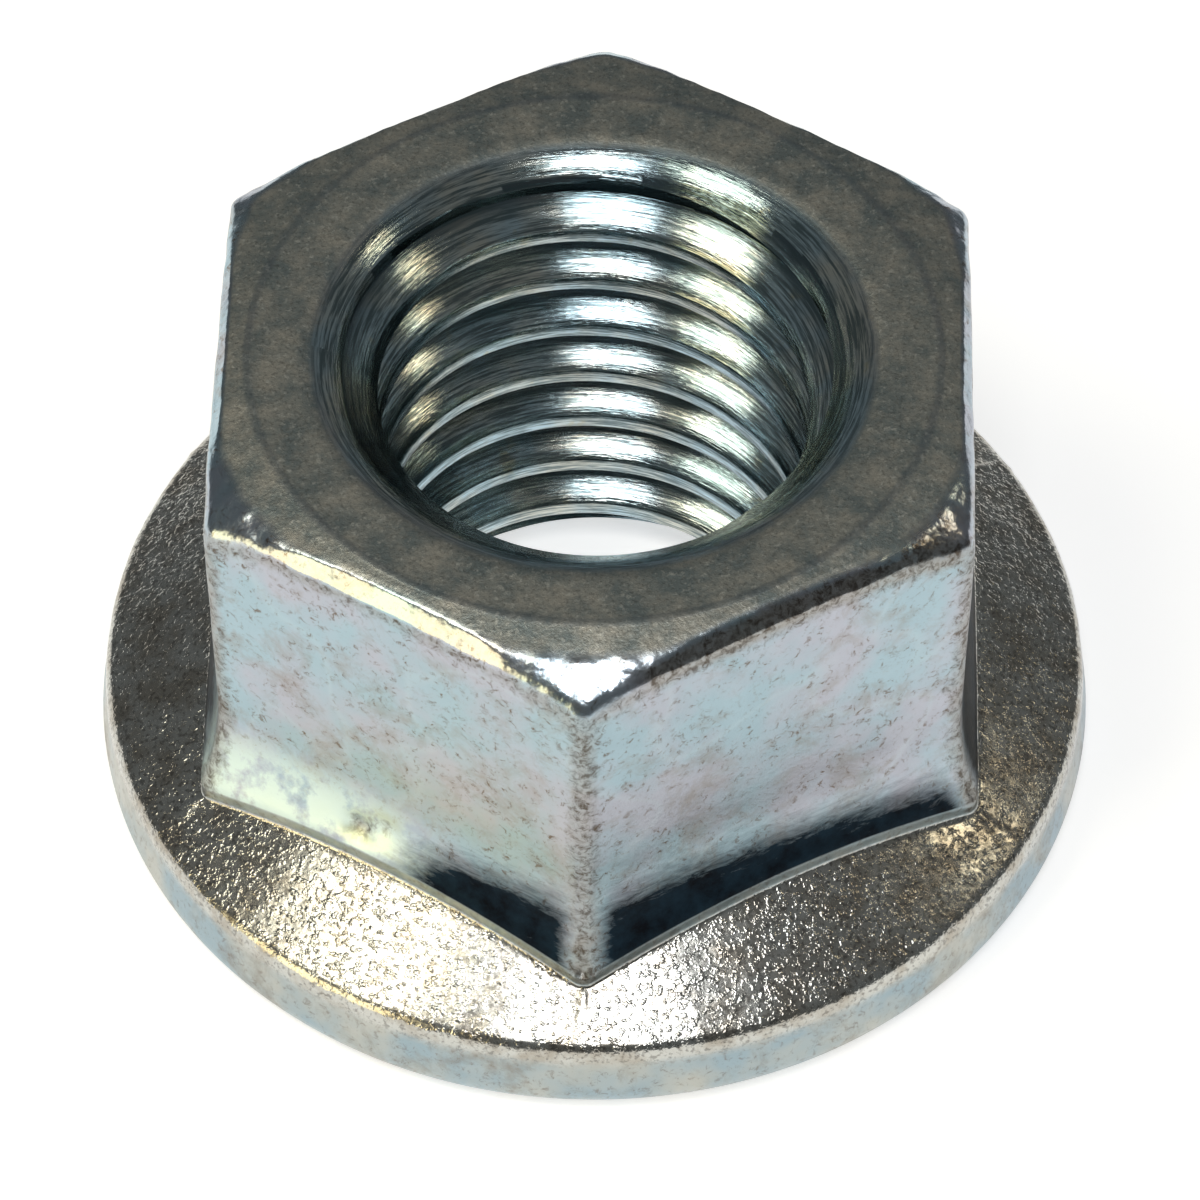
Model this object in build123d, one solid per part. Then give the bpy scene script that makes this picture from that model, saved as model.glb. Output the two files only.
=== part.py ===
from build123d import *
import os
from math import atan2, cos, pi, radians, sin, tan

# Serrated flange nut, cold formed in one piece, in millimetres.
# The origin is the centre of the bearing plane, where the tips of the serrations lie,
# and +Z runs along the thread, out through the top of the nut.

# Thread. The bore stands at the thread's crests, and the fine thread itself is not cut.
thread_diameter = 12.0
thread_pitch = 1.75
crest_allowance = 0.25

# Hexagon head, with its top corners turned off at a shallow angle
across_flats = 18.0
nut_height = 13.8
corner_radius = 0.45
chamfer_circle = 17.0
chamfer_angle = 30.0
edge_radius = 0.3

# Foot of the head: each flat sweeps out, then drops straight down to the flange
foot_sweep = 0.55
foot_rise = 2.8
foot_land = 1.2

# Flange, from its conical top round the leaning rim and its bevel to the bearing face
flange_margin = 1.56
flange_slope = 27.5
rim_lean = 0.24
rim_height = 2.4
rim_bevel = 0.58
rim_bottom_radius = 0.75
rim_top_radius = 0.4

# Countersinks of the bore, and the rounded lip of the upper one
countersink_angle = 45.0
top_countersink_margin = 0.15
bottom_countersink_margin = 0.24
lip_radius = 0.8

# Serrations: each tooth has one steep side, which bites as the nut turns loose, and a long ramp
tooth_count = 30
tooth_depth = 0.32
tooth_land = 0.25
tooth_steep_angle = 70.0

# What follows from them
BASIC_THREAD_DEPTH = 1.0825
LEVEL = 1e-6
bore_radius = (thread_diameter - BASIC_THREAD_DEPTH * thread_pitch + crest_allowance) / 2
top_countersink_radius = thread_diameter / 2 + top_countersink_margin
bottom_countersink_radius = thread_diameter / 2 + bottom_countersink_margin
half_flats = across_flats / 2
foot_half_flats = half_flats + foot_sweep
foot_corner = foot_half_flats / cos(radians(30))
flange_radius = foot_corner + flange_margin
rim_top = flange_radius - rim_lean


def cone_height(radius):
    """Height of the flange's conical top at a radius."""
    return rim_height + (rim_top - radius) * tan(radians(flange_slope))


def is_level(edge):
    """True where an edge stays at one height."""
    return edge.bounding_box().size.Z < LEVEL


def flat_pair():
    """A slab with two opposite flats, each sweeping out to its foot."""
    land_top = cone_height(foot_corner) + foot_land
    sweep_top = land_top + foot_rise
    sweep_radius = (foot_rise**2 + foot_sweep**2) / (2 * foot_sweep)
    half_turn = atan2(foot_rise, sweep_radius - foot_sweep) / 2
    bow = (
        half_flats + sweep_radius * (1 - cos(half_turn)),
        sweep_top - sweep_radius * sin(half_turn),
    )
    outline = [
        Line((foot_half_flats, 0), (foot_half_flats, land_top)),
        ThreePointArc((foot_half_flats, land_top), bow, (half_flats, sweep_top)),
        Line((half_flats, sweep_top), (half_flats, nut_height)),
        Line((half_flats, nut_height), (0, nut_height)),
        Line((0, nut_height), (0, 0)),
        Line((0, 0), (foot_half_flats, 0)),
    ]
    half = make_face(outline)
    section = half + mirror(half, about=Plane.YZ)
    return extrude(Plane.XZ * section, foot_corner * 2, both=True)


def hexagon():
    """Three flat pairs meet in the hexagon, with its upright corners rounded."""
    prism = flat_pair() & Rot(0, 0, 60) * flat_pair() & Rot(0, 0, 120) * flat_pair()
    corners = [e for e in prism.edges() if not is_level(e)]
    return fillet(corners, corner_radius)


def chamfer_envelope():
    """The turned outline that takes the hexagon's top corners off."""
    reach = foot_corner * 2
    drop = (reach - chamfer_circle / 2) * tan(radians(chamfer_angle))
    outline = Polyline(
        (0, 0),
        (reach, 0),
        (reach, nut_height - drop),
        (chamfer_circle / 2, nut_height),
        (0, nut_height),
        close=True,
    )
    return revolve(Plane.XZ * make_face(outline), Axis.Z)


def head():
    """The hexagon under its chamfer, with the edge between them softened."""
    chamfered = hexagon() & chamfer_envelope()
    cone_edges = chamfered.faces().filter_by(GeomType.CONE).edges()
    curved = [e for e in cone_edges if e.geom_type != GeomType.LINE and not is_level(e)]
    return fillet(curved, edge_radius)


def flange():
    """The turned flange with its conical top and rounded rim."""
    outline = Polyline(
        (0, 0),
        (flange_radius - rim_bevel, 0),
        (flange_radius, rim_bevel),
        (rim_top, rim_height),
        (0, cone_height(0)),
        close=True,
    )
    section = make_face(outline)
    section = fillet(section.vertices().sort_by(Axis.X)[-1], rim_bottom_radius)
    section = fillet(section.vertices().sort_by(Axis.Y)[-2], rim_top_radius)
    return revolve(Plane.XZ * section, Axis.Z)


def bore():
    """What the bore and its two countersinks take away."""
    slope = tan(radians(countersink_angle))
    below = -thread_pitch
    above = nut_height + thread_pitch
    outline = Polyline(
        (0, below),
        (bottom_countersink_radius - below / slope, below),
        (bore_radius, (bottom_countersink_radius - bore_radius) * slope),
        (bore_radius, nut_height - (top_countersink_radius - bore_radius) * slope),
        (top_countersink_radius, nut_height),
        (top_countersink_radius, above),
        (0, above),
        close=True,
    )
    return revolve(Plane.XZ * make_face(outline), Axis.Z)


def lip(body):
    """The circle where the upper countersink meets the top."""
    circles = body.edges().filter_by(GeomType.CIRCLE).group_by(Axis.Z)[-1]
    return circles.sort_by(SortBy.RADIUS)[0]


def tooth_gap():
    """One gap between two serrations: a three-sided spike with its point at the nut's centre."""
    outside = flange_radius + rim_bevel
    depth = tooth_depth * outside / flange_radius
    land = tooth_land * outside / flange_radius
    root = depth / tan(radians(tooth_steep_angle))
    step = 2 * pi * outside / tooth_count
    mouth = [Vector(outside, y, z) for y, z in ((0, 0), (root, depth), (step - land, 0))]
    sides = [(mouth[i - 1], mouth[i], Vector(0, 0, 0)) for i in range(3)]
    return Solid(Shell([Face(Wire.make_polygon(side)) for side in [mouth] + sides]))


def serrated_flange_nut():
    """Head and flange in one solid, with the bore and the serrations cut."""
    blank = head() + flange() - bore()
    blank = fillet(lip(blank), lip_radius)
    gap = tooth_gap()
    gaps = [Rot(0, 0, 360 * i / tooth_count) * gap for i in range(tooth_count)]
    return blank - gaps


os.makedirs("parts", exist_ok=True)
export_step(serrated_flange_nut(), "parts/flange_nut.step")
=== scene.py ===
import bmesh
import bpy
from math import atan2, cos, exp, hypot, pi, radians, sin, sqrt, tan
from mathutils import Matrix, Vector, noise


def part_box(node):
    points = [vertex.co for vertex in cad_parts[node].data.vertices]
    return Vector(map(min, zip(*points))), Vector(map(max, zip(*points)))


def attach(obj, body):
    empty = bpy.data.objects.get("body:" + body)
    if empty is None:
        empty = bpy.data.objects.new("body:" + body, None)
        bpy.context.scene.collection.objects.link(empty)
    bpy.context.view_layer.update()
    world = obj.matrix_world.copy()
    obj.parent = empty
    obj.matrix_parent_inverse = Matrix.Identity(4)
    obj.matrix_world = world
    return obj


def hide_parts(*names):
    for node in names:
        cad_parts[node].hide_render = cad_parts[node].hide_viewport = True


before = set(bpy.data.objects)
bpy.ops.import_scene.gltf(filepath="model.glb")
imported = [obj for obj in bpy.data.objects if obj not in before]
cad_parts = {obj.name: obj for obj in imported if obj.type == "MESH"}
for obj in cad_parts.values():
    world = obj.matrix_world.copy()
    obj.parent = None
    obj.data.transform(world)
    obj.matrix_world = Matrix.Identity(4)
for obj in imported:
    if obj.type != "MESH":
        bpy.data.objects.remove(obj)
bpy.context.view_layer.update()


# Camera. It looks down on the nut from in front, a long way off for its size, with a corner
# of the hexagon nearly straight towards it.
MM = 0.001
look_elevation = radians(51.47)
look_azimuth = radians(1.36)
look_distance = 135.0 * MM
look_at = Vector((0.140, 0.0, 4.255)) * MM
towards_camera = Vector(
    (
        sin(look_azimuth) * cos(look_elevation),
        -cos(look_azimuth) * cos(look_elevation),
        sin(look_elevation),
    )
)
camera_data = bpy.data.cameras.new("camera")
camera_data.lens = 161.47
camera_data.sensor_width = 36.0
camera_data.clip_start = 0.01
camera = bpy.data.objects.new("camera", camera_data)
camera.location = look_at + towards_camera * look_distance
camera.rotation_euler = towards_camera.to_track_quat("Z", "Y").to_euler()
bpy.context.scene.collection.objects.link(camera)
bpy.context.scene.camera = camera


# Serrated flange nut. One piece of steel, cold formed with its hexagon, flange and ratchet teeth,
# then tapped through and zinc plated. It lies on the tips of its teeth. Its sizes are in millimetres.
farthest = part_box("flange_nut")[1]
nut_height = farthest.z / MM
rim_reach = farthest.x / MM

# Hexagon, with its turned chamfer, which is a little flatter at the back
flat_reach = 9.0
corner_radius = 0.45
chamfer_start = 8.25
chamfer_break = 0.6
front_chamfer_slope = tan(radians(12.5))
back_chamfer_slope = tan(radians(7))

# Narrow facet under the chamfer. It is steep along the flats, turned on a circle round the corners,
# and smaller and sharper at the back.
facet_width = 0.38
facet_slope = tan(radians(50))
facet_radius = 0.30
edge_radius = 0.34
corner_facet_circle = 9.15
corner_facet_slope = tan(radians(31))
corner_facet_radius = 1.40
corner_edge_radius = 0.70
corner_facet_zone = (9.25, 9.95)
back_sharper = 0.65

# Foot of the hexagon: each flat sweeps out, then drops straight down to the flange
foot_sweep = 0.55
sweep_top = 7.0
sweep_power = 2.6
strip_height = 0.42
foot_round = 0.12
foot_reach = flat_reach + foot_sweep

# Flange, from its conical top round the leaning rim to its bevel
flange_margin = 1.56
flange_radius = foot_reach / cos(radians(30)) + flange_margin
flange_slope = tan(radians(27.5))
rim_lean = 0.24
rim_top = flange_radius - rim_lean
rim_height = 2.4
rim_bevel = 0.58
rim_top_radius = 0.4
rim_bottom_radius = 0.75

# Countersinks of the bore, both at 45 degrees, and the rounded lip of the upper one
thread_radius = 6.0
top_countersink_margin = 0.5
top_countersink = thread_radius + top_countersink_margin
bottom_countersink_margin = 0.24
bottom_countersink = thread_radius + bottom_countersink_margin
lip_radius = 1.4
bottom_ring = 0.2

# Teeth under the flange, each with one steep side, a long ramp and a narrow land
tooth_count = 30
tooth_depth = 0.32
tooth_land = 0.25
tooth_steep = tan(radians(70))
tooth_turn = 2 * pi / tooth_count
steep_turn = tooth_depth / tooth_steep / flange_radius
land_start = tooth_turn - tooth_land / flange_radius

# Mesh: columns round the axis, which crowd to the hexagon's corners, and the steps of each band of
# the section
columns = 360
column_turn = 2 * pi / columns
tooth_columns = columns // tooth_count
corner_crowding = 0.7
band_steps = {
    "lip": 12,
    "top": 12,
    "fold": 3,
    "chamfer": 7,
    "facet": 4,
    "edge": 6,
    "flat": 20,
    "sweep": 16,
    "strip": 4,
    "foot": 3,
    "cone": 27,
    "rim": 6,
    "wall": 8,
    "bottom": 7,
    "bevel": 4,
    "under": 14,
    "mouth": 3,
}


def rounded(before, corner, after, radius, steps):
    """Points of the arc that rounds a corner of a section."""
    here = Vector(corner)
    one = (Vector(before) - here).normalized()
    other = (Vector(after) - here).normalized()
    half = one.angle(other) / 2
    centre = here + (one + other).normalized() * (radius / sin(half))
    start = here + one * (radius / tan(half)) - centre
    end = here + other * (radius / tan(half)) - centre
    return [centre + start.slerp(end, i / steps) * radius for i in range(steps + 1)]


def run(start, end, steps):
    """Points between two points of a section, without either end."""
    first, last = Vector(start), Vector(end)
    return [first.lerp(last, i / steps) for i in range(1, steps)]


def mix(one, other, share):
    """From one value to another by a share."""
    return one + (other - one) * share


def fade(value, start, end):
    """0 up to the start, 1 from the end on, and a soft rise between them."""
    share = min(1.0, max(0.0, (value - start) / (end - start)))
    return share * share * (3 - 2 * share)


def from_corner(azimuth):
    """Angle from the nearest corner of the hexagon, one of which points along -Y."""
    return (azimuth + pi / 2 + pi / 6) % (pi / 3) - pi / 6


def hexagon_radius(reach, angle):
    """Radius of the hexagon, with its corners rounded, at an angle from a corner."""
    angle = abs(angle)
    to_centre = (reach - corner_radius) / cos(pi / 6)
    tangent = atan2(corner_radius * sin(pi / 6), to_centre + corner_radius * cos(pi / 6))
    if angle > tangent:
        return reach / cos(pi / 6 - angle)
    across = to_centre * sin(angle)
    return to_centre * cos(angle) + sqrt(corner_radius**2 - across**2)


def cone_height(radius):
    """Height of the flange's conical top at a radius."""
    return rim_height + (rim_top - radius) * flange_slope


def top_edge(azimuth, start, radius):
    """The bands of the head's top, at a radius of the hexagon: fold, chamfer and edge."""
    back = (1 + sin(azimuth)) / 2
    fall = mix(front_chamfer_slope, back_chamfer_slope, back)
    corner = Vector((radius, nut_height - (radius - chamfer_start) * fall))
    fold = rounded((0, nut_height), start, corner, chamfer_break, band_steps["fold"])
    at_corner = fade(radius, *corner_facet_zone)
    size = 1 - back_sharper * back
    width = mix(facet_width, radius - corner_facet_circle, at_corner) * size
    slope = mix(facet_slope, corner_facet_slope, at_corner)
    upper_radius = mix(facet_radius, corner_facet_radius, at_corner) * size
    lower_radius = mix(edge_radius, corner_edge_radius, at_corner) * size
    upper = corner + Vector((-1, fall)) * width
    lower = upper + Vector((1, -slope)) * width
    down = lower - Vector((0, 1))
    inner_edge = rounded(start, upper, lower, upper_radius, band_steps["facet"])
    outer_edge = rounded(upper, lower, down, lower_radius, band_steps["edge"])
    facet = run(inner_edge[-1], outer_edge[0], band_steps["facet"])
    chamfer = run(fold[-1], inner_edge[0], band_steps["chamfer"])
    return {"fold": fold, "chamfer": chamfer, "edge": inner_edge + facet + outer_edge}


def head_bands(azimuth):
    """The section of the head at an azimuth: its bands in order, from top to flange."""
    angle = from_corner(azimuth)
    start = Vector((chamfer_start, nut_height))
    bands = top_edge(azimuth, start, hexagon_radius(flat_reach, angle))
    foot_radius = hexagon_radius(foot_reach, angle)
    foot = Vector((foot_radius, cone_height(foot_radius)))
    strip_top = foot + Vector((0, strip_height))
    sweep = []
    for i in range(band_steps["sweep"] + 1):
        share = i / band_steps["sweep"]
        reach = flat_reach + foot_sweep * share**sweep_power
        sweep.append(Vector((hexagon_radius(reach, angle), mix(sweep_top, strip_top.y, share))))
    bands["flat"] = run(bands["edge"][-1], sweep[0], band_steps["flat"])
    bands["sweep"] = sweep
    bands["strip"] = run(strip_top, foot, band_steps["strip"])
    bands["foot"] = rounded(strip_top, foot, (rim_top, rim_height), foot_round, band_steps["foot"])
    return bands


def turned_bands(top_end):
    """The turned parts of the section: lip and top inside the head, rim and underside outside."""
    mouth = Vector((top_countersink, nut_height))
    cone_start = (0, nut_height - top_countersink)
    lip = rounded(cone_start, mouth, mouth + Vector((1, 0)), lip_radius, band_steps["lip"])
    rim_corner = (rim_top, rim_height)
    bevel_start = (flange_radius, rim_bevel)
    bevel_end = Vector((flange_radius - rim_bevel, 0))
    under_end = Vector((bottom_countersink, 0))
    mouth_end = Vector((bottom_countersink - bottom_ring, bottom_ring))
    rim = rounded((0, cone_height(0)), rim_corner, bevel_start, rim_top_radius, band_steps["rim"])
    bottom = rounded(rim_corner, bevel_start, bevel_end, rim_bottom_radius, band_steps["bottom"])
    return {
        "lip": lip,
        "top": run(lip[-1], top_end, band_steps["top"]),
        "rim": rim,
        "wall": run(rim[-1], bottom[0], band_steps["wall"]),
        "bottom": bottom,
        "bevel": run(bottom[-1], bevel_end, band_steps["bevel"]) + [bevel_end],
        "under": run(bevel_end, under_end, band_steps["under"]) + [under_end],
        "mouth": run(under_end, mouth_end, band_steps["mouth"]) + [mouth_end],
    }


side_head = head_bands(0)
turned = turned_bands(side_head["fold"][0])
toothed_bands = ("bottom", "bevel", "under")
outer_bands = ("rim", "wall", *toothed_bands, "mouth")
band_counts = {name: len(turned[name]) for name in ("lip", "top")}
band_counts |= {name: len(points) for name, points in side_head.items()}
band_counts["cone"] = band_steps["cone"] - 1
band_counts |= {name: len(turned[name]) for name in outer_bands}
rings = [
    (name, i, (i + 0.5) / count) for name, count in band_counts.items() for i in range(count)
]


def tooth_gap(turn):
    """Depth of the gap between two teeth at the rim, from the turn since its steep side began."""
    if turn < steep_turn:
        return tooth_depth * turn / steep_turn
    return max(0.0, tooth_depth * (land_start - turn) / (land_start - steep_turn))


def tooth_stations():
    """Turns of one tooth's columns: both ends of its steep side, its ramp and its land."""
    ramp = tooth_columns - 3
    stations = [0.0] + [mix(steep_turn, land_start, i / ramp) for i in range(ramp + 1)]
    return stations + [(land_start + tooth_turn) / 2]


def crowding(name, share):
    """How far a ring's columns crowd to the corners of the hexagon, from 0 to 1."""
    if name == "top":
        return fade(share, 0, 1)
    if name == "cone":
        return 1 - fade(share, 0, 1)
    return 1.0 if name in side_head else 0.0


def tooth_share(name, share):
    """How far a ring's columns stand on the edges of the teeth, from 0 to 1."""
    if name == "wall":
        return fade(share, 0, 1)
    if name == "mouth":
        return 1 - share
    return 1.0 if name in toothed_bands else 0.0


def crowded(azimuth, share):
    """An azimuth drawn towards the nearest corner of the hexagon."""
    return azimuth - corner_crowding * share * sin(6 * from_corner(azimuth)) / 6


# The last ring keeps even columns, because the bore joins it.
tooth_drift = [turn - column_turn * i for i, turn in enumerate(tooth_stations())]
ring_crowding = [crowding(name, share) for name, i, share in rings]
ring_tooth_share = [tooth_share(name, share) for name, i, share in rings]
ring_crowding[-1] = 0.0
ring_tooth_share[-1] = 0.0
heads = [head_bands(crowded(column * column_turn, 1.0)) for column in range(columns)]


def outside_point(ring, column):
    """Radius, azimuth and height of a vertex of the outside."""
    name, i, share = rings[ring]
    azimuth = crowded(column * column_turn, ring_crowding[ring])
    azimuth += tooth_drift[column % tooth_columns] * ring_tooth_share[ring]
    if name == "cone":
        point = heads[column]["foot"][-1].lerp(turned["rim"][0], (i + 1) / band_steps["cone"])
    elif name in turned:
        point = turned[name][i]
    else:
        point = heads[column][name][i]
    height = point.y
    if name in toothed_bands:
        gap = tooth_gap(azimuth % tooth_turn)
        height = max(height, gap * point.x / flange_radius)
    return point.x, azimuth, height


def sleeve(shell, ring_count, rise):
    """A line of vertices spun once round the axis into an open sleeve, rising as it turns."""
    line = [shell.verts.new((1, 0, ring)) for ring in range(ring_count)]
    edges = [shell.edges.new(pair) for pair in zip(line, line[1:])]
    bmesh.ops.spin(
        shell,
        geom=line + edges,
        cent=(0, 0, 0),
        axis=(0, 0, 1),
        angle=2 * pi,
        dvec=(0, 0, rise / columns),
        steps=columns,
        use_merge=rise == 0,
        use_duplicate=False,
    )


def column_of(vertex):
    """The column that a vertex of a sleeve stands in."""
    return round(atan2(vertex.co.y, vertex.co.x) / column_turn) % columns


# Finishes that a place can have, each as a share from 0 to 1, and the depth of each band's relief.
# The foot and pale finishes are painted reflections, root is painted shade in the thread roots, and
# the wear share also carries painted shade.
finishes = ("top", "flange", "wear_and_shade", "bore", "root", "foot", "strip", "wall", "lumpy", "painted_pale_reflection")
relief_depth = {
    "top": 0.010,
    "fold": 0.012,
    "chamfer": 0.022,
    "edge": 0.05,
    "flat": 0.016,
    "sweep": 0.024,
    "cone": 0.022,
    "rim": 0.026,
    "wall": 0.026,
}

# Wear: brown along the upright corners, under the top edge and down its outer side. One stretch of
# the edge, at the front right, is darkened all over, partly as brown stain and partly as painted
# shade. Stretches of a band run from 0 at its top to 1 at its foot.
corner_wear = 0.85
corner_wear_width = 0.45
upper_flat_wear = 0.55
upper_flat_wear_fall = 16
edge_wear = 0.70
edge_wear_stretch = (0.66, 0.86)
edge_stain_and_shade = 0.95
edge_stain_and_shade_stretch = (0.15, 0.40)
edge_stain_and_shade_azimuths = (radians(277), radians(330))
edge_stain_and_shade_blur = 0.12

# Where one finish passes into the next
fold_top = 0.85
fold_lumps = 0.3
edge_top_stretch = (0, 2 / 7)
edge_lumps_start = (0, 1 / 4)
edge_lumps_end = (2 / 3, 1)
lip_top_stretch = (0.42, 0.76)
wall_flange_stretch = (0, 1 / 3)
foot_flange_stretch = (0, 1 / 2)

# Painted dark reflection on the foot of the sweep. It starts lower towards one end of each flat, and
# one stretch has a painted pale reflection instead.
foot_start = 0.10
foot_lean = 0.34
foot_length = 0.62
foot_corner_gap = (-0.1, 0.9)
turned_lean_azimuths = (radians(210), radians(270))
# Stretch of the foot with a painted pale green reflection instead of the dark one
pale_azimuths = (radians(206), radians(243))
pale_foot_blur = 0.26
pale_blur = 0.3
pale_stretch = (0.2, 0.7)


def within(azimuth, limits, blur):
    """1 between two azimuths and 0 beyond them, with a soft change across each."""
    turn = azimuth % (2 * pi)
    first, last = limits
    half = blur / 2
    return fade(turn, first - half, first + half) * (1 - fade(turn, last - half, last + half))


def foot_painted_reflection(share, azimuth, aside):
    """How much painted dark reflection and painted pale reflection a place on the sweep has."""
    lean = (azimuth + pi / 2) % (pi / 3) / (pi / 3)
    if turned_lean_azimuths[0] < azimuth % (2 * pi) < turned_lean_azimuths[1]:
        lean = 2 * (1 - lean)
    start = foot_start + foot_lean * lean
    dark = fade(share, start, start + foot_length) * fade(aside, *foot_corner_gap)
    dark *= 1 - within(azimuth, pale_azimuths, pale_foot_blur)
    return dark, fade(share, *pale_stretch) * within(azimuth, pale_azimuths, pale_blur)


def finish_of(name, share, azimuth, radius):
    """How much of each finish a place on the outside has."""
    aside = abs(from_corner(azimuth)) * radius
    finish = dict.fromkeys(finishes, 0.0)
    if name in ("flat", "sweep", "strip"):
        finish["wear_and_shade"] = corner_wear * exp(-((aside / corner_wear_width) ** 2))
    if name == "flat":
        under_edge = upper_flat_wear * exp(-share * upper_flat_wear_fall)
        finish["wear_and_shade"] = max(finish["wear_and_shade"], under_edge)
    if name == "edge":
        # One stretch at the front right: partly brown stain, partly painted shade
        stain_and_shade = within(azimuth, edge_stain_and_shade_azimuths, edge_stain_and_shade_blur)
        stain_and_shade *= fade(share, *edge_stain_and_shade_stretch)
        finish["wear_and_shade"] = max(edge_wear * fade(share, *edge_wear_stretch), edge_stain_and_shade * stain_and_shade)
        finish["top"] = 1 - fade(share, *edge_top_stretch)
        finish["lumpy"] = fade(share, *edge_lumps_start) * (1 - fade(share, *edge_lumps_end))
    if name in ("top", "chamfer"):
        finish["top"] = 1.0
    if name == "fold":
        finish["top"] = fold_top
        finish["lumpy"] = fold_lumps
    if name == "lip":
        finish["top"] = fade(share, *lip_top_stretch)
        finish["bore"] = 1 - finish["top"]
    if name in ("cone", "rim"):
        finish["flange"] = 1.0
    if name == "wall":
        finish["flange"] = 1 - fade(share, *wall_flange_stretch)
    if name in outer_bands:
        finish["wall"] = 1.0
    if name == "strip":
        finish["strip"] = 1.0
    if name == "foot":
        finish["flange"] = fade(share, *foot_flange_stretch)
        finish["strip"] = 1 - finish["flange"]
    # The sweep's painted dark reflection and painted pale reflection
    if name == "sweep":
        finish["foot"], finish["painted_pale_reflection"] = foot_painted_reflection(share, azimuth, aside)
    return finish


def value_layers(shell):
    """A value on each vertex for every finish, and one for the depth of its relief."""
    return {name: shell.verts.layers.float.new(name) for name in (*finishes, "relief")}


nut = bmesh.new()
layers = value_layers(nut)
sleeve(nut, len(rings), 0)
for vertex in nut.verts:
    ring, column = round(vertex.co.z), column_of(vertex)
    name, i, share = rings[ring]
    radius, azimuth, height = outside_point(ring, column)
    vertex.co = Vector((radius * cos(azimuth), radius * sin(azimuth), height))
    for finish, amount in finish_of(name, share, azimuth, radius).items():
        vertex[layers[finish]] = amount
    vertex[layers["relief"]] = relief_depth.get(name, 0.0)


# Thread, tapped through the nut: one section that rises by a pitch in each turn. The ends are drawn
# in to the two countersinks, so that the thread runs out in their cones. It is set by the lower edge
# of its highest whole crest, which has a height at an azimuth.
pitch = 1.75
crest_radius = 5.178
crest_edge_height = 11.86
crest_edge_azimuth = radians(91.2)
edge_break = 0.05
flank_stations = (0.35, 0.70)
turns_below = 8
thread_turns = 11
weld_distance = 0.003
thread_depth = thread_radius - crest_radius
flank = thread_depth * tan(radians(30))
crest = pitch / 4
root = pitch - crest - 2 * flank
up_flank = crest + flank
down_flank = up_flank + root
lowest_start = crest_edge_height - pitch * (crest_edge_azimuth / (2 * pi) + turns_below)
thread_section = [
    (0.0, crest_radius + edge_break / 2),
    (edge_break, crest_radius),
    (crest - edge_break, crest_radius),
    (crest, crest_radius + edge_break / 2),
    *[(crest + flank * out, crest_radius + thread_depth * out) for out in flank_stations],
    (up_flank, thread_radius - edge_break),
    (up_flank + edge_break, thread_radius),
    (down_flank - edge_break, thread_radius),
    (down_flank, thread_radius - edge_break),
    *[
        (down_flank + flank * (1 - out), crest_radius + thread_depth * out)
        for out in reversed(flank_stations)
    ],
]
section_rings = len(thread_section)
top_ring = turned["lip"][0]
mouth_radius = turned["mouth"][-1].x


def thread_point(column, ring):
    """Radius, azimuth and height of a vertex of the thread."""
    turn = column / columns
    step, part = divmod(ring, section_rings)
    offset, radius = thread_section[part]
    height = lowest_start + (step + turn) * pitch + offset
    height = min(top_ring.y, max(bottom_ring, height))
    below_top = top_ring.y - height
    radius = min(radius, top_ring.x + below_top)
    radius = max(radius, top_ring.x - below_top, bottom_countersink - height)
    if height == bottom_ring:
        radius = mouth_radius
    return radius, turn * 2 * pi, height


bore = bmesh.new()
bore_layers = value_layers(bore)
sleeve(bore, thread_turns * section_rings, section_rings)
for vertex in bore.verts:
    column = column_of(vertex)
    ring = round(vertex.co.z - column / columns * section_rings)
    radius, azimuth, height = thread_point(column, ring)
    vertex.co = Vector((radius * cos(azimuth), radius * sin(azimuth), height))
    vertex[bore_layers["bore"]] = 1.0
    # Share of painted shade in the thread roots: 0 on the crests, 1 in the roots
    if radius < top_ring.x:
        vertex[bore_layers["root"]] = max(0.0, (radius - crest_radius) / thread_depth)
bore_mesh = bpy.data.meshes.new("bore")
bore.to_mesh(bore_mesh)
bore.free()
nut.from_mesh(bore_mesh)
bpy.data.meshes.remove(bore_mesh)
bmesh.ops.remove_doubles(nut, verts=nut.verts, dist=weld_distance)
bmesh.ops.recalc_face_normals(nut, faces=nut.faces)


# Relief of the formed and plated surface, and the dents and pits that the nut has picked up:
# azimuth in degrees, height, radius and depth. A faint ridge runs out from each corner's foot.
dents = [
    (327.4, 7.87, 0.16, 0.10),
    (329.6, 3.75, 0.22, 0.12),
    (269.9, 3.62, 0.24, 0.14),
    (234.0, 4.75, 0.32, 0.24),
    (238.0, 5.10, 0.30, 0.14),
]
# Dents are also painted darker with the wear colour, as painted shade in their hollows
dent_painted_shade = 4.5
ridge_height = 0.03
ridge_width = 0.10
broad_wave, broad_wave_share = 1.3, 0.5
small_wave, small_wave_share = 0.55, 0.35
fine_wave, flange_wave_share, lumpy_wave_share = 0.40, 0.25, 0.5
relief_sink = 0.25
sharp_angle = radians(34)


def dent_depth(place):
    """Depth of the dents at a place on the nut."""
    depth = 0.0
    for azimuth, height, size, deepest in dents:
        turn = atan2(place.y, place.x) - radians(azimuth)
        across = hypot(place.x, place.y) * sin(turn)
        if cos(turn) > 0:
            depth += deepest * exp(-(across**2 + (place.z - height) ** 2) / size**2)
    return depth


def waves_at(place, flange, lumpy):
    """Height of the formed surface's waves, from about -1 to 1."""
    fine_share = flange_wave_share * flange + lumpy_wave_share * lumpy
    waves = noise.noise(place / broad_wave) * broad_wave_share
    waves += noise.noise(place / small_wave) * small_wave_share
    return waves + noise.noise(place / fine_wave) * fine_share


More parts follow.
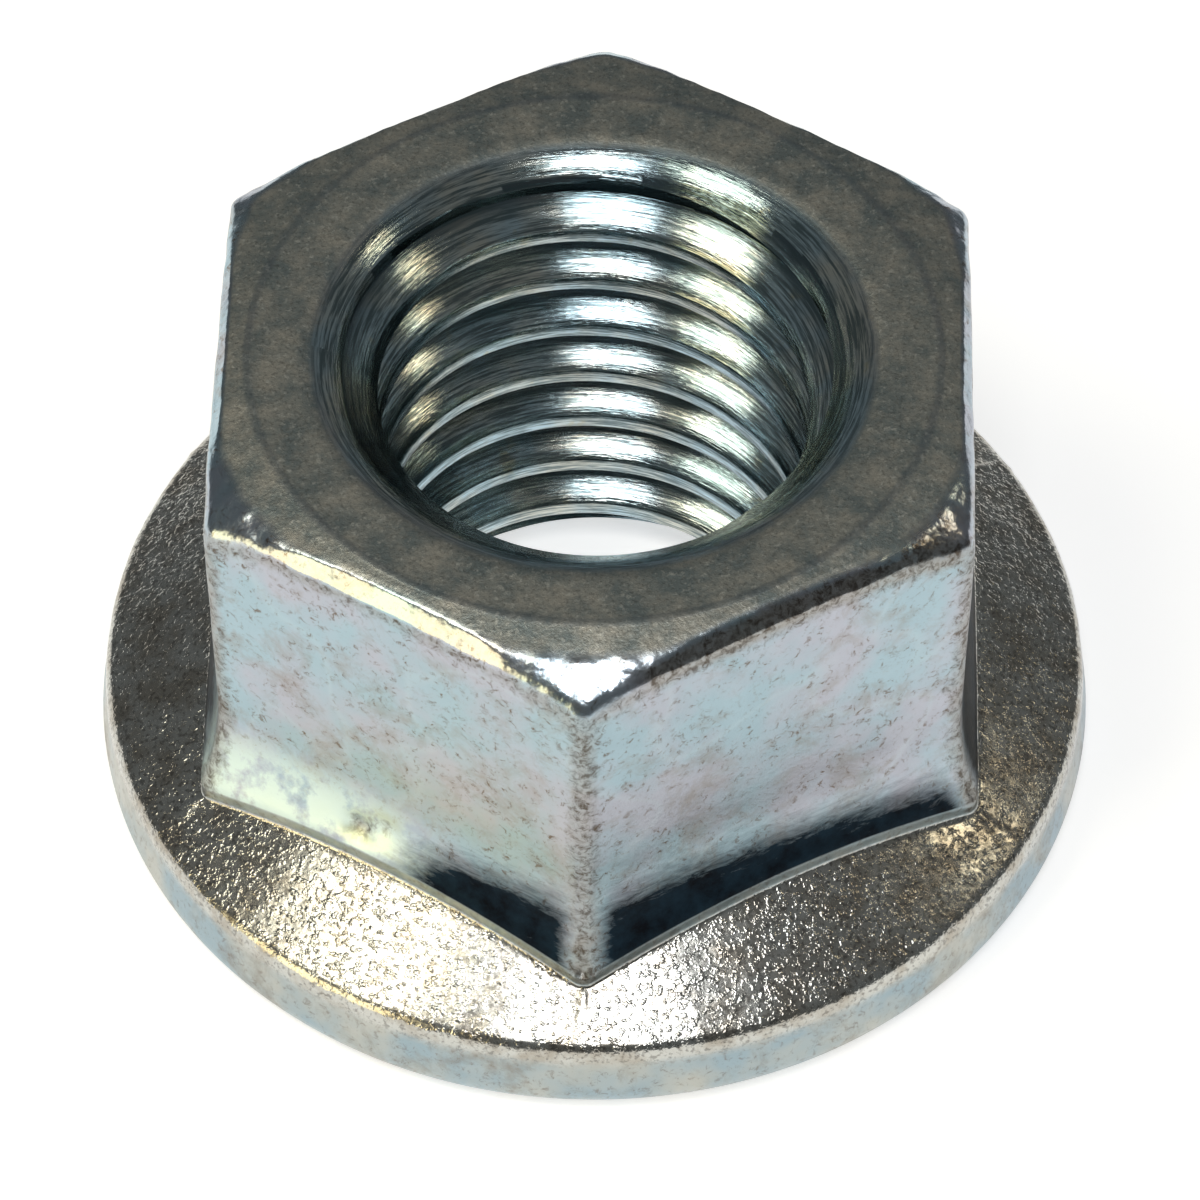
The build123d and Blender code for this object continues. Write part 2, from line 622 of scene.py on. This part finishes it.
nut.normal_update()
relief_layer = nut.verts.layers.float["relief"]
flange_layer = nut.verts.layers.float["flange"]
lumpy_layer = nut.verts.layers.float["lumpy"]
wear_and_shade_layer = nut.verts.layers.float["wear_and_shade"]
for vertex in nut.verts:
    depth = vertex[relief_layer]
    if depth == 0:
        continue
    place = vertex.co.copy()
    flange = vertex[flange_layer]
    lift = depth * (waves_at(place, flange, vertex[lumpy_layer]) - relief_sink)
    radius = hypot(place.x, place.y)
    if flange > 0 and radius > foot_reach:
        aside = from_corner(atan2(place.y, place.x)) * radius
        lift += ridge_height * exp(-((aside / ridge_width) ** 2)) * flange
    dent = dent_depth(place)
    vertex.co = place + vertex.normal * (lift - dent)
    # Painted shade in the dents, laid on the wear share
    vertex[wear_and_shade_layer] = min(1.0, vertex[wear_and_shade_layer] + dent * dent_painted_shade)
    reach = hypot(vertex.co.x, vertex.co.y)
    if reach > rim_reach:
        vertex.co.x *= rim_reach / reach
        vertex.co.y *= rim_reach / reach
    vertex.co.z = min(vertex.co.z, nut_height)
bmesh.ops.recalc_face_normals(nut, faces=nut.faces)
bmesh.ops.scale(nut, vec=(MM, MM, MM), verts=nut.verts)
nut_mesh = bpy.data.meshes.new("serrated_flange_nut")
nut.to_mesh(nut_mesh)
nut.free()
nut_mesh.shade_smooth()
nut_mesh.set_sharp_from_angle(angle=sharp_angle)
nut_piece = bpy.data.objects.new("serrated_flange_nut", nut_mesh)
bpy.context.scene.collection.objects.link(nut_piece)


# Zinc plating with a thin blue passivation. The flats are satin blue with brown specks, the top is
# dull and dark, the flange is coarse and glitters, worn edges are brown and the thread is bright. The
# foot of the flats has a painted dark reflection with one painted pale green stretch, and the thread
# roots, the dents and one stretch of the edge have painted shade.
zinc = bpy.data.materials.new("zinc_plated_steel")
zinc.use_nodes = True
tree = zinc.node_tree
shader = tree.nodes["Principled BSDF"]
coordinates = tree.nodes.new("ShaderNodeTexCoord")


def to_mm(vector, scale=(1, 1, 1)):
    """Coordinates in millimetres, stretched along each axis."""
    node = tree.nodes.new("ShaderNodeMapping")
    node.inputs["Scale"].default_value = Vector(scale) / MM
    tree.links.new(vector, node.inputs["Vector"])
    return node.outputs["Vector"]


def mottle(vector, size, detail=4.0, roughness=0.6, warp=0.0):
    """Cloudy pattern whose patches are about as wide as size, in millimetres."""
    node = tree.nodes.new("ShaderNodeTexNoise")
    node.inputs["Scale"].default_value = 1 / size
    node.inputs["Detail"].default_value = detail
    node.inputs["Roughness"].default_value = roughness
    node.inputs["Distortion"].default_value = warp
    tree.links.new(vector, node.inputs["Vector"])
    return node.outputs["Fac"]


def between(value, start, end, first=0.0, last=1.0):
    """A value stretched so that start to end becomes first to last."""
    node = tree.nodes.new("ShaderNodeMapRange")
    node.inputs["From Min"].default_value = start
    node.inputs["From Max"].default_value = end
    node.inputs["To Min"].default_value = first
    node.inputs["To Max"].default_value = last
    tree.links.new(value, node.inputs["Value"])
    return node.outputs["Result"]


def combine(operation, *values):
    """One or two values, each a socket or a number, through a Math node."""
    node = tree.nodes.new("ShaderNodeMath")
    node.operation = operation
    for socket, value in zip(node.inputs, values):
        if isinstance(value, (int, float)):
            socket.default_value = value
        else:
            tree.links.new(value, socket)
    return node.outputs["Value"]


def times(one, other):
    """The product of two values."""
    return combine("MULTIPLY", one, other)


def tint(share, one, other):
    """From one colour to another by a share."""
    node = tree.nodes.new("ShaderNodeMix")
    node.data_type = "RGBA"
    tree.links.new(share, node.inputs["Factor"])
    for socket, value in ((node.inputs[6], one), (node.inputs[7], other)):
        if isinstance(value, tuple):
            socket.default_value = (*value, 1)
        else:
            tree.links.new(value, socket)
    return node.outputs[2]


def grade(share, one, other):
    """From one value to another by a share."""
    return combine("ADD", times(combine("SUBTRACT", other, one), share), one)


def blurred(share, pattern, strength):
    """A share with its border made ragged by a pattern."""
    return combine("ADD", share, times(combine("SUBTRACT", pattern, 0.5), strength))


def finish_share(name):
    """How much of a finish a place has."""
    node = tree.nodes.new("ShaderNodeAttribute")
    node.attribute_name = name
    return node.outputs["Fac"]


# Patterns, from patches of a few millimetres down to a fine grain
surface = to_mm(coordinates.outputs["Object"])
share_of = {name: finish_share(name) for name in finishes}
broad = mottle(surface, 2.6, 3.0)
cloud = mottle(surface, 0.9, 5.0, 0.65)
grain = mottle(surface, 0.16, 3.0, 0.7)
fine = mottle(surface, 0.09, 3.0, 0.8)
speck = mottle(surface, 0.22, 5.0, 0.75, 0.6)
glitter = mottle(surface, 0.13, 2.0, 0.6)
smudge = between(mottle(surface, 1.4, 6.0, 0.72, 0.4), 0.50, 0.68)
tide = mottle(surface, 3.6, 1.0, 0.4, 0.3)
tide_marks = times(between(tide, 0.50, 0.53), between(tide, 0.56, 0.53))
streaks = mottle(to_mm(coordinates.outputs["Object"], (1.0, 1.0, 4.0)), 0.9, 5.0, 0.75, 0.5)

# Flats: sky blue and lilac, with brown smudges, faint rings of dried water and brown specks
sky_blue = (0.39, 0.52, 0.59)
lilac = (0.47, 0.49, 0.56)
brown_smudge = (0.30, 0.26, 0.22)
dried_water = (0.55, 0.66, 0.70)
brown_speck = (0.16, 0.11, 0.07)
flat_colour = tint(between(broad, 0.40, 0.62), sky_blue, lilac)
flat_colour = tint(times(smudge, 0.55), flat_colour, brown_smudge)
flat_colour = tint(times(tide_marks, 0.20), flat_colour, dried_water)
spots = times(between(speck, 0.54, 0.66), between(cloud, 0.40, 0.58, 0.15, 0.95))
flat_colour = tint(spots, flat_colour, brown_speck)

# Top: dull, with dark pores and pale grains
dull_dark = (0.26, 0.30, 0.30)
dull_brown = (0.52, 0.50, 0.44)
dark_pore = (0.12, 0.12, 0.11)
pale_grain = (0.74, 0.74, 0.68)
top_colour = tint(between(cloud, 0.38, 0.66), dull_dark, dull_brown)
top_colour = tint(between(fine, 0.50, 0.36, 0.0, 0.45), top_colour, dark_pore)
top_colour = tint(between(grain, 0.56, 0.70, 0.0, 0.6), top_colour, pale_grain)

# Flange: grey and brown, with dark pits
flange_grey = (0.56, 0.56, 0.53)
flange_brown = (0.42, 0.39, 0.34)
dark_pit = (0.08, 0.07, 0.06)
flange_colour = tint(between(cloud, 0.42, 0.62), flange_grey, flange_brown)
flange_colour = tint(between(glitter, 0.48, 0.36, 0.0, 0.5), flange_colour, dark_pit)

# Bore: bright, with patches of yellow passivation, painted shade darkening the thread roots and dark
# tooling lines. The lines run with the thread, so their pattern is laid out by radius, azimuth and
# height.
bore_blue = (0.50, 0.64, 0.70)
bore_cream = (0.66, 0.67, 0.60)
bore_yellow = (0.62, 0.52, 0.26)
root_painted_shade = (0.04, 0.07, 0.09)
line_dark = (0.10, 0.15, 0.16)
line_length = 1.6
line_width = 0.07
axes = tree.nodes.new("ShaderNodeSeparateXYZ")
tree.links.new(surface, axes.inputs["Vector"])
x, y, z = axes.outputs
circle = combine("SQRT", combine("ADD", times(x, x), times(y, y)))
turned_at = combine("DIVIDE", combine("ARCTAN2", y, x), 2 * pi)
along = tree.nodes.new("ShaderNodeCombineXYZ")
tree.links.new(circle, along.inputs["X"])
tree.links.new(times(turned_at, line_length), along.inputs["Y"])
tree.links.new(combine("SUBTRACT", z, times(turned_at, pitch)), along.inputs["Z"])
lines = mottle(along.outputs["Vector"], line_width, 3.0, 0.7)
bore_colour = tint(between(broad, 0.42, 0.60), bore_blue, bore_cream)
bore_colour = tint(between(cloud, 0.60, 0.72, 0.0, 0.6), bore_colour, bore_yellow)
# Painted shade darkening the thread roots
bore_colour = tint(between(share_of["root"], 0.55, 1.0, 0.0, 0.85), bore_colour, root_painted_shade)
bore_colour = tint(between(lines, 0.58, 0.42, 0.0, 0.85), bore_colour, line_dark)

# Worn edges, with painted shade in the dents and along one stretch of the edge, the strip round the
# foot, the rim and underside, and the painted dark reflection on the foot of the flats
# Wear colour, which also paints the shade in the dents and on one stretch of the edge
grey_wear_and_shade = (0.36, 0.34, 0.31)
brown_wear_and_shade = (0.10, 0.08, 0.06)
wear_and_shade_colour = tint(between(speck, 0.44, 0.60), grey_wear_and_shade, brown_wear_and_shade)
strip_blue = (0.31, 0.39, 0.43)
strip_grey = (0.45, 0.50, 0.51)
strip_speck = (0.19, 0.16, 0.13)
strip_colour = tint(between(cloud, 0.35, 0.65), strip_blue, strip_grey)
strip_colour = tint(times(between(speck, 0.50, 0.62), 0.45), strip_colour, strip_speck)
wall_blue = (0.32, 0.41, 0.46)
wall_grey = (0.46, 0.47, 0.44)
wall_smudge = (0.24, 0.21, 0.17)
wall_speck = (0.16, 0.12, 0.09)
wall_colour = tint(between(broad, 0.40, 0.62), wall_blue, wall_grey)
wall_colour = tint(times(smudge, 0.65), wall_colour, wall_smudge)
wall_colour = tint(times(between(speck, 0.54, 0.64), 0.5), wall_colour, wall_speck)
# Painted dark reflection on the foot of the flats: near black and dark blue
foot_reflection_black = (0.004, 0.005, 0.007)
foot_reflection_blue = (0.010, 0.022, 0.034)
foot_reflection_colour = tint(between(cloud, 0.35, 0.65), foot_reflection_black, foot_reflection_blue)
# Painted pale green reflection on one stretch of the foot of the flats
painted_pale_green = (0.70, 0.83, 0.76)

# Colour: each finish is laid over the one before, the painted dark reflection on the foot and the
# wear, painted shade included, with ragged borders
shaded = between(blurred(share_of["foot"], streaks, 0.9), 0.12, 0.85)
shaded = times(shaded, between(share_of["foot"], 0.0, 0.12))
ragged = between(blurred(share_of["wear_and_shade"], speck, 1.3), 0.30, 0.95)
# Painted pale green reflection on one stretch of the foot
colour = tint(times(share_of["painted_pale_reflection"], between(cloud, 0.36, 0.52)), flat_colour, painted_pale_green)
# Painted dark reflection on the foot
colour = tint(shaded, colour, foot_reflection_colour)
colour = tint(share_of["top"], colour, top_colour)
colour = tint(share_of["wall"], colour, wall_colour)
colour = tint(share_of["flange"], colour, flange_colour)
colour = tint(share_of["strip"], colour, strip_colour)
# Wear and painted shade, with ragged borders
colour = tint(times(ragged, 0.85), colour, wear_and_shade_colour)
colour = tint(share_of["bore"], colour, bore_colour)
tree.links.new(colour, shader.inputs["Base Color"])
shader.inputs["Metallic"].default_value = 1.0

# Roughness of each finish
top_dullness = 0.52
flange_dullness = 0.20
worn_dullness = 0.44
lumpy_dullness = 0.22
bore_dullness = 0.13
dullness = grade(share_of["top"], between(cloud, 0.3, 0.7, 0.30, 0.42), top_dullness)
dullness = grade(share_of["flange"], dullness, flange_dullness)
dullness = grade(ragged, dullness, worn_dullness)
dullness = grade(share_of["lumpy"], dullness, lumpy_dullness)
dullness = grade(share_of["bore"], dullness, bore_dullness)
tree.links.new(dullness, shader.inputs["Roughness"])

# Fine relief: grain on the flats and top, lumps and grit on the flange, lines in the bore
bump_depth = 0.022
flat_grain = 0.30
top_grain = 0.8
lumps_share = 0.5
grit_share = 0.5
edge_lumps = 1.4
line_depth = 0.55
lumps = mottle(surface, 0.36, 2.0, 0.5)
grit = between(mottle(surface, 0.16, 2.0, 0.6), 0.50, 0.72)
coarse = combine("ADD", times(lumps, lumps_share), times(grit, grit_share))
height = times(grain, grade(share_of["top"], flat_grain, top_grain))
height = grade(share_of["flange"], height, coarse)
height = grade(share_of["lumpy"], height, times(lumps, edge_lumps))
height = grade(share_of["bore"], height, times(lines, line_depth))
bump = tree.nodes.new("ShaderNodeBump")
bump.inputs["Strength"].default_value = 1.0
bump.inputs["Distance"].default_value = bump_depth * MM
tree.links.new(height, bump.inputs["Height"])
tree.links.new(bump.outputs["Normal"], shader.inputs["Normal"])
nut_mesh.materials.append(zinc)
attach(nut_piece, "root")
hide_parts("flange_nut")


# Floor: a plain white sheet, far wider than the nut. It glows faintly to the camera and in
# reflections, and still takes the nut's shadow.
sheet_reach = 0.6
sheet_white = 0.85
sheet_dullness = 0.9
sheet_glow = 0.58
sheet = bmesh.new()
bmesh.ops.create_grid(sheet, x_segments=1, y_segments=1, size=sheet_reach)
floor_mesh = bpy.data.meshes.new("floor")
sheet.to_mesh(floor_mesh)
sheet.free()
floor = bpy.data.objects.new("floor", floor_mesh)
bpy.context.scene.collection.objects.link(floor)
paper = bpy.data.materials.new("white_sheet")
paper.use_nodes = True
paper_tree = paper.node_tree
paper_shader = paper_tree.nodes["Principled BSDF"]
paper_shader.inputs["Base Color"].default_value = (sheet_white, sheet_white, sheet_white, 1)
paper_shader.inputs["Roughness"].default_value = sheet_dullness
paper_shader.inputs["Emission Color"].default_value = (1, 1, 1, 1)
rays = paper_tree.nodes.new("ShaderNodeLightPath")
seen = rays.outputs["Is Camera Ray"]
for kind in ("Is Glossy Ray", "Is Transmission Ray"):
    either = paper_tree.nodes.new("ShaderNodeMath")
    either.operation = "MAXIMUM"
    paper_tree.links.new(seen, either.inputs[0])
    paper_tree.links.new(rays.outputs[kind], either.inputs[1])
    seen = either.outputs["Value"]
glow = paper_tree.nodes.new("ShaderNodeMath")
glow.operation = "MULTIPLY"
glow.inputs[1].default_value = sheet_glow
paper_tree.links.new(seen, glow.inputs[0])
paper_tree.links.new(glow.outputs["Value"], paper_shader.inputs["Emission Strength"])
floor_mesh.materials.append(paper)


# Light: a white lamp high in front, a cream one high on the left, a warm one low on the left in
# front and a small warm one high on the right, all in a dim even room.
lamp_distance = 0.34
white = (1.0, 1.0, 1.0)
cream = (1.0, 0.94, 0.76)
warm = (1.0, 0.84, 0.48)
soft_yellow = (1.0, 0.86, 0.60)
room_grey = (0.12, 0.128, 0.13)


def soft_lamp(name, azimuth, elevation, size, power, tone):
    """A square lamp that faces the nut, with its angles in degrees."""
    data = bpy.data.lights.new(name, "AREA")
    data.size = size
    data.energy = power
    data.color = tone
    lamp = bpy.data.objects.new(name, data)
    side, up = radians(azimuth), radians(elevation)
    way = Vector((cos(side) * cos(up), sin(side) * cos(up), sin(up)))
    lamp.location = way * lamp_distance
    lamp.rotation_euler = way.to_track_quat("Z", "Y").to_euler()
    bpy.context.scene.collection.objects.link(lamp)


soft_lamp("front", 272, 67, 0.11, 0.34, white)
soft_lamp("high_left", 204, 61, 0.11, 0.24, cream)
soft_lamp("low_left", 217, 17, 0.20, 0.36, warm)
soft_lamp("high_right", 15, 45, 0.045, 0.03, soft_yellow)
world = bpy.data.worlds.new("studio")
world.use_nodes = True
room = world.node_tree.nodes["Background"]
room.inputs["Color"].default_value = (*room_grey, 1)
room.inputs["Strength"].default_value = 1.0
bpy.context.scene.world = world
bpy.context.scene.view_settings.view_transform = "Standard"
